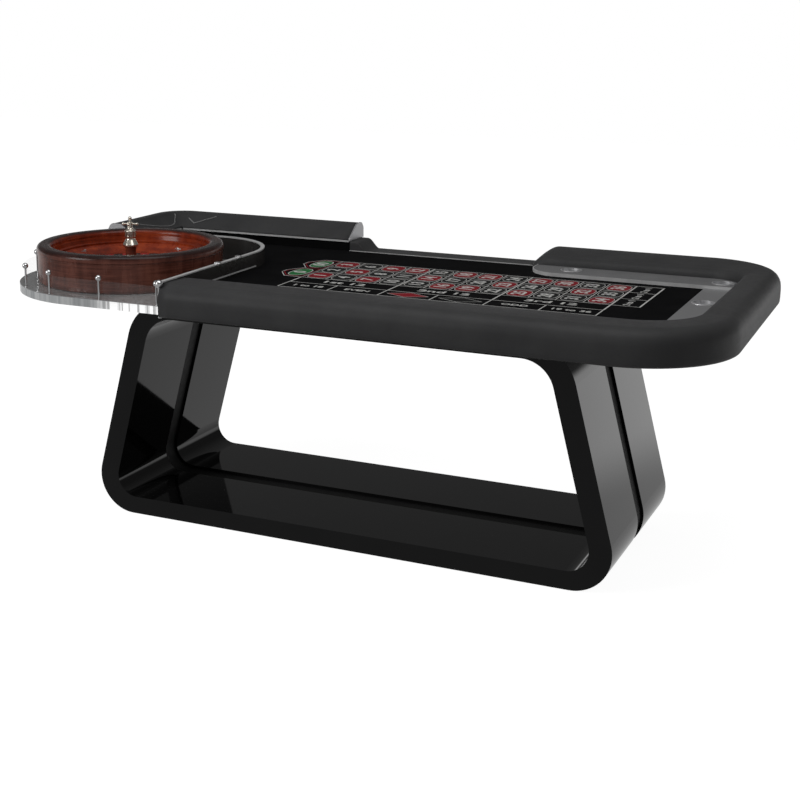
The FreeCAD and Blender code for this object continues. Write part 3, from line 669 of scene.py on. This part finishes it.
def tube(name, points, radius, look, body, sides=8):
    """Closed round cord through points, such as piping along a seam."""
    points = [Vector(p) for p in points]
    rings = []
    for i, p in enumerate(points):
        ahead = points[min(i + 1, len(points) - 1)] - points[max(i - 1, 0)]
        ahead.normalize()
        side_ = ahead.cross(Vector((0, 0, 1)))
        if side_.length < 0.05:
            side_ = ahead.cross(Vector((0, 1, 0)))
        side_.normalize()
        up = side_.cross(ahead)
        turns = [2 * math.pi * k / sides for k in range(sides)]
        rings.append([p + (side_ * math.cos(a) + up * math.sin(a)) * radius for a in turns])
    return piece(name, lofted(name, rings), look, body)


SEAM_R = 0.0021            # radius of the piping cord
PIPING = leather("piping", (0.20, 0.20, 0.20), (0.27, 0.27, 0.27), (0.4, 0.5), 0.3)


def slope_height(u):
    """Height of the high rail's inner slope, this far in from its outer face."""
    t = (u - SLOPE_TOP.x) / (SLOPE_FOOT.x - SLOPE_TOP.x)
    chord = SLOPE_TOP.y + (SLOPE_FOOT.y - SLOPE_TOP.y) * t
    return chord - SLOPE_SAG * math.sin(math.pi * min(max(t, 0), 1)) * 0.8


def between(knots, steps=8):
    """Points along a broken line, so that piping follows the slope closely."""
    path = [knots[0]]
    for a, b in zip(knots, knots[1:]):
        path += [tuple(p + (q - p) * k / steps for p, q in zip(a, b)) for k in range(1, steps + 1)]
    return path


def rail_seams():
    """Piping on the high rail: a rounded panel at its left end and a dart beside it."""
    left, back = BACK_LOW[0], BACK_HIGH[1]
    panel = [(left + u, y, slope_height(u)) for u, y in between(
        [(0.053, 0.224), (0.077, 0.298), (0.091, 0.346), (0.099, 0.385),
         (0.101, 0.412), (0.097, 0.436), (0.090, 0.456)])]
    centre = (left + BACK_CORNER, back - BACK_CORNER)
    for u, angle in between([(0.086, 176), (0.078, 163), (0.069, 152), (0.058, 146), (0.050, 144)], 4):
        panel.append((*around(centre, BACK_CORNER - u, math.radians(angle)), slope_height(u)))
    tube("seam_panel", panel, SEAM_R, PIPING, "table")
    dart = [(x, back - u, slope_height(u)) for x, u in between(
        [(-1.058, 0.070), (-1.021, 0.094), (-0.983, 0.074), (-0.940, 0.054)])]
    tube("seam_dart", dart, SEAM_R, PIPING, "table")


# ---- printed betting grid -----------------------------------------------------
GRID_X = (-0.2571, 0.7948)  # the thirty-six numbers
GRID_Y = (-0.0917, 0.2358)
COLUMN_END = 0.8831        # far edge of the column bets
DOZEN_Y = -0.1782          # near edge of the dozen bets
EVEN_Y = -0.2652           # near edge of the even-money bets
INK_T = 0.00018
LINE = 0.0030
CELL_X = (GRID_X[1] - GRID_X[0]) / 12
CELL_Y = (GRID_Y[1] - GRID_Y[0]) / 3
RED_NUMBERS = {1, 3, 5, 7, 9, 12, 14, 16, 18, 19, 21, 23, 25, 27, 30, 32, 34, 36}


def slab_into(bm, outline, z0=PRINT_Z, thick=INK_T, holes=None):
    """Thin plate of ink with the given plan outline; holes makes it a ring."""
    bottom = [bm.verts.new((x, y, z0)) for x, y in outline]
    top = [bm.verts.new((x, y, z0 + thick)) for x, y in outline]
    count = len(outline)
    if holes:
        inner_low = [bm.verts.new((x, y, z0)) for x, y in holes]
        inner_top = [bm.verts.new((x, y, z0 + thick)) for x, y in holes]
        for i in range(count):
            j = (i + 1) % count
            bm.faces.new((top[i], top[j], inner_top[j], inner_top[i]))
            bm.faces.new((bottom[j], bottom[i], inner_low[i], inner_low[j]))
            bm.faces.new((bottom[i], bottom[j], top[j], top[i]))
            bm.faces.new((inner_low[j], inner_low[i], inner_top[i], inner_top[j]))
        return
    bm.faces.new(top)
    bm.faces.new(reversed(bottom))
    for i in range(count):
        j = (i + 1) % count
        bm.faces.new((bottom[i], bottom[j], top[j], top[i]))


def bar(bm, a, b, width=LINE):
    a, b = Vector(a), Vector(b)
    along = (b - a).normalized() * width / 2
    across = Vector((-along.y, along.x))
    slab_into(bm, [tuple(a - along - across), tuple(b + along - across),
                   tuple(b + along + across), tuple(a - along + across)])


def oval(x, y, rx, ry, power=2.4, steps=36):
    """Rounded-end outline, a little squarer than an ellipse."""
    points = []
    for i in range(steps):
        a = 2 * math.pi * i / steps
        c, s = math.cos(a), math.sin(a)
        points.append((x + rx * math.copysign(abs(c) ** (2 / power), c),
                       y + ry * math.copysign(abs(s) ** (2 / power), s)))
    return points


def letters_into(bm, text, x, y, size, turn=0.0, z0=PRINT_Z, matrix=None, thick=INK_T, spread=1.0):
    """Raised lettering, centred; turn is its heading in degrees."""
    curve = bpy.data.curves.new("lettering", "FONT")
    curve.body = text
    curve.size = size
    curve.align_x = "CENTER"
    curve.align_y = "CENTER"
    curve.extrude = thick / 2
    curve.resolution_u = 3
    curve.offset = size * 0.026
    holder = bpy.data.objects.new("lettering", curve)
    mesh = bpy.data.meshes.new_from_object(holder)
    place = matrix
    if place is None:
        place = Matrix.Translation((x, y, z0 + thick / 2)) @ Matrix.Rotation(math.radians(turn), 4, "Z")
    mesh.transform(place @ Matrix.Diagonal((spread, 1, 1, 1)))
    bm.from_mesh(mesh)
    bpy.data.objects.remove(holder)
    bpy.data.curves.remove(curve)
    bpy.data.meshes.remove(mesh)


def layout_print():
    white, red, black, green = (bmesh.new() for _ in range(4))
    x0, x1 = GRID_X
    y0, y1 = GRID_Y
    for i in range(13):
        x = x0 + CELL_X * i
        bar(white, (x, DOZEN_Y if i % 4 == 0 else y0), (x, y1), LINE * (1.7 if i % 4 == 0 else 1.0))
    for x in run(x0, x1, 6):
        bar(white, (x, EVEN_Y), (x, DOZEN_Y), LINE * 1.3)
    for j in range(4):
        bar(white, (x0, y0 + CELL_Y * j), (COLUMN_END, y0 + CELL_Y * j))
    for y in (DOZEN_Y, EVEN_Y):
        bar(white, (x0, y), (x1, y))
    bar(white, (COLUMN_END, y0), (COLUMN_END, y1), LINE * 1.7)
    # numbered cells, three to a column, tops of the figures towards the wheel
    for number in range(1, 37):
        x = x0 + CELL_X * ((number - 1) // 3 + 0.5)
        y = y0 + CELL_Y * ((number - 1) % 3 + 0.5)
        rx, ry = CELL_X * 0.43, CELL_Y * 0.44
        filled = red if number in RED_NUMBERS else black
        slab_into(filled, oval(x, y, rx - 0.0020, ry - 0.0020, 3.0))
        slab_into(white, oval(x, y, rx, ry, 3.0), holes=oval(x, y, rx - 0.0020, ry - 0.0020, 3.0))
        letters_into(white, str(number), x, y, 0.060, 90, z0=PRINT_Z + INK_T, spread=0.95)
    # the two zero cells, pointed towards the wheel
    half = (y1 - y0) / 2
    for k, text in ((0, "0"), (1, "00")):
        a, b = y0 + half * k, y0 + half * (k + 1)
        tip = x0 - 0.106
        shoulder = x0 - 0.066
        centre_y = (a + b) / 2
        rim = [(x0, a), (x0, b), (shoulder, b),
               (tip, centre_y + 0.02), (tip, centre_y - 0.02), (shoulder, a)]
        for p, q in zip(rim, rim[1:] + rim[:1]):
            bar(white, p, q)
        c = Vector((x0 - 0.048, centre_y))
        shrink = [tuple(c + (Vector(p) - c) * 0.90) for p in rim]
        inner = [tuple(c + (Vector(p) - c) * 0.84) for p in rim]
        slab_into(red, shrink, holes=inner)
        middle = (x0 - 0.045, centre_y)
        slab_into(green, oval(*middle, 0.030, 0.060))
        slab_into(white, oval(*middle, 0.033, 0.063), holes=oval(*middle, 0.030, 0.060))
        letters_into(white, text, *middle, 0.062, 90, z0=PRINT_Z + INK_T)
    for i, text in enumerate(("1st 12", "2nd 12", "3rd 12")):
        letters_into(white, text, x0 + CELL_X * (4 * i + 2), (y0 + DOZEN_Y) / 2, 0.042, spread=1.5)
    for i, text in enumerate(("1 to 18", "EVEN", None, None, "ODD", "19 to 36")):
        x = x0 + (x1 - x0) / 6 * (i + 0.5)
        y = (DOZEN_Y + EVEN_Y) / 2
        if text:
            letters_into(white, text, x, y, 0.031, spread=1.2)
            continue
        gem = [(x - 0.072, y), (x, y - 0.036), (x + 0.072, y), (x, y + 0.036)]
        core = [(x + (p - x) * 0.94, y + (q - y) * 0.94) for p, q in gem]
        slab_into(red if i == 2 else black, core)
        slab_into(white, gem, holes=core)
    for j in range(3):
        x = (x1 + COLUMN_END) / 2
        letters_into(white, "2 to 1", x, y0 + CELL_Y * (j + 0.5), 0.030, 90, spread=1.15)
    for name, bm, look in (("print_white", white, WHITE_INK), ("print_red", red, RED_INK),
                           ("print_black", black, BLACK_INK), ("print_green", green, GREEN_INK)):
        bmesh.ops.recalc_face_normals(bm, faces=bm.faces)
        mesh = bpy.data.meshes.new(name)
        bm.to_mesh(mesh)
        bm.free()
        piece(name, mesh, look, "table", smooth=False)


# ---- numbers on the wheel -------------------------------------------------------
WHEEL_ORDER = ("0 28 9 26 30 11 7 20 32 17 5 22 34 15 3 24 36 13 1 "
               "00 27 10 25 29 12 8 19 31 18 6 21 33 16 4 23 35 14 2").split()


def ring_numbers():
    """One number over each pocket, lying on the ring's top and read from outside."""
    bm = bmesh.new()
    step = 2 * math.pi / POCKETS
    inner, outer = 0.176, 0.202
    rise = math.atan2(0.006, outer - inner)
    top = high("number_ring")[2]
    for i, text in enumerate(WHEEL_ORDER):
        angle = step * (i + 0.5)
        centre = AXLE + Vector((math.cos(angle) * 0.189, math.sin(angle) * 0.189, top - 0.0028))
        face = (Matrix.Translation(centre) @ Matrix.Rotation(angle + math.pi / 2, 4, "Z")
                @ Matrix.Rotation(rise, 4, "X"))
        letters_into(bm, text, 0, 0, 0.015, matrix=face, thick=0.0004)
    mesh = bpy.data.meshes.new("ring_numbers")
    bm.to_mesh(mesh)
    bm.free()
    piece("ring_numbers", mesh, WHITE_INK, "rotor", smooth=False)


# ---- studio --------------------------------------------------------------------
def area_light(name, at, aim, size, power, tall=None):
    light = bpy.data.lights.new(name, "AREA")
    light.shape = "RECTANGLE"
    light.size = size
    light.size_y = tall or size
    light.energy = power
    obj = bpy.data.objects.new(name, light)
    obj.location = at
    obj.rotation_euler = (Vector(aim) - Vector(at)).to_track_quat("-Z", "Y").to_euler()
    bpy.context.scene.collection.objects.link(obj)
    return obj


def sky(world):
    """White backdrop to the eye; for light and reflections a dim room, brighter behind."""
    world.use_nodes = True
    tree = world.node_tree
    tree.nodes.clear()

    def add(kind, **inputs):
        node = tree.nodes.new(kind)
        for index, value in inputs.items():
            socket = node.inputs[int(index[1:])]
            if hasattr(value, "is_output"):
                tree.links.new(value, socket)
            else:
                socket.default_value = value
        return node

    def step(value, start, end, least, most):
        node = add("ShaderNodeMapRange", _0=value, _1=start, _2=end, _3=least, _4=most)
        node.interpolation_type = "SMOOTHSTEP"
        return node.outputs[0]

    def times(a, b):
        node = add("ShaderNodeMath", _0=a, _1=b)
        node.operation = "MULTIPLY"
        return node.outputs[0]

    def plus(a, b):
        return add("ShaderNodeMath", _0=a, _1=b).outputs[0]

    where = add("ShaderNodeTexCoord").outputs["Generated"]
    parts = add("ShaderNodeSeparateXYZ", _0=where).outputs
    behind = step(parts[1], -0.2, 0.75, FLOOR_FRONT, FLOOR_BACK)
    band = times(step(parts[2], -0.175, -0.135, 0.42, 1.0), step(parts[2], -0.02, 0.10, 1.0, 0.0))
    room = step(parts[2], -0.05, 0.12, FLOOR_FRONT, SKY_LOW)
    top = step(parts[2], 0.35, 0.95, 0.0, SKY_TOP)
    glow = plus(plus(times(behind, band), room), top)
    seen = add("ShaderNodeLightPath").outputs["Is Camera Ray"]
    mix = add("ShaderNodeMix", _0=seen, _2=glow, _3=1.0)
    light = add("ShaderNodeBackground", _0=(1, 1, 1, 1), _1=mix.outputs[0])
    out = add("ShaderNodeOutputWorld")
    tree.links.new(light.outputs[0], out.inputs[0])


FLOOR_FRONT = 0.22         # how bright the room's floor is before the table
FLOOR_BACK = 0.92          # and behind it
SKY_LOW = 0.12
SKY_TOP = 0.18


def studio():
    world = bpy.data.worlds.new("studio")
    sky(world)
    bpy.context.scene.world = world
    mesh = bpy.data.meshes.new("floor")
    reach = 14.0
    mesh.from_pydata([(-reach, -reach, 0), (reach, -reach, 0), (reach, reach, 0), (-reach, reach, 0)],
                     [], [(0, 1, 2, 3)])
    floor = bpy.data.objects.new("floor", mesh)
    look = Look("pale_floor", Specular_IOR_Level=0.0, Emission_Color=(1, 1, 1, 1), Emission_Strength=0.95)
    look.colour(look.ramp(look.noise(0.6, 2.0), (0.3, 0.30), (0.7, 0.32)))
    look.shader.inputs["Roughness"].default_value = 0.9
    mesh.materials.append(look.material)
    floor.visible_glossy = False
    floor.visible_diffuse = False
    floor.visible_transmission = True
    bpy.context.scene.collection.objects.link(floor)
    area_light("overhead", (0.2, -0.9, 3.4), (0.0, 0.0, 0.7), 3.2, 32, 1.6)
    area_light("front_left", (-3.4, -4.2, 2.6), (0.0, 0.0, 0.8), 2.2, 88)


def camera():
    data = bpy.data.cameras.new("camera")
    data.lens = 64.05
    data.sensor_width = 36.0
    data.shift_x = 0.0937
    data.shift_y = -0.0471
    data.clip_start = 0.05
    data.clip_end = 60.0
    obj = bpy.data.objects.new("camera", data)
    obj.location = (1.8600, -4.2846, 1.7196)
    obj.rotation_euler = (math.radians(90 - 14.0721), 0.0, math.radians(25.8347))
    bpy.context.scene.collection.objects.link(obj)
    bpy.context.scene.camera = obj
    bpy.context.scene.view_settings.view_transform = "Standard"


dress_nodes()
rail_padding()
backrest_padding()
dealer_padding()
rail_seams()
layout_print()
ring_numbers()
studio()
camera()
